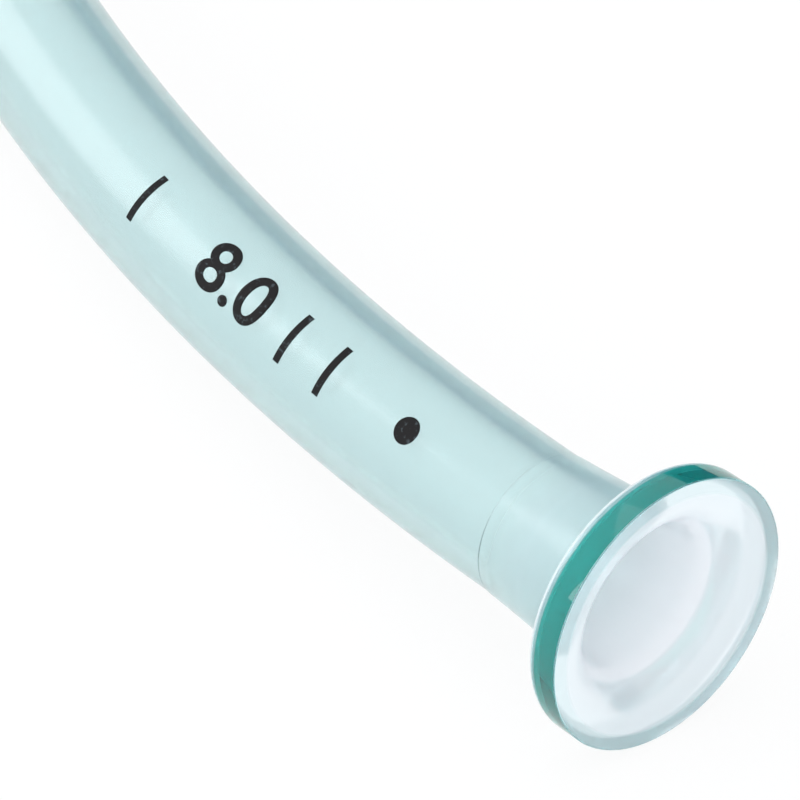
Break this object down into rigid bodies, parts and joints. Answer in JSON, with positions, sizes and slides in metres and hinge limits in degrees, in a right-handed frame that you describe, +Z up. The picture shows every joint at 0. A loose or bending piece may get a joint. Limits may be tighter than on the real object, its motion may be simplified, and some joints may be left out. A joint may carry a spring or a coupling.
{
  "type": "nasopharyngeal airway",
  "caption": "Curved clear tube with a round flange and flared mouth at one end and a slanting rounded tip at the other, to keep the nose and throat open.",
  "frame": {"origin": "middle of the footprint, on the surface that the airway lies on", "axes": "+Z up as it lies on a table; +X along the level direction in which the mouth of the flange faces, so the tube runs to -X and bends towards +Y; the tip opening faces up"},
  "size_m": [0.1458, 0.0576, 0.0201],
  "materials": {
    "clear_tinted_pvc": "clear, smooth and glossy, with a blue-green tint",
    "black_print": "thin printed ink"
  },
  "bodies": {
    "root": {"flange": "clear_tinted_pvc", "airway_tube": "clear_tinted_pvc"}
  },
  "joints": []
}
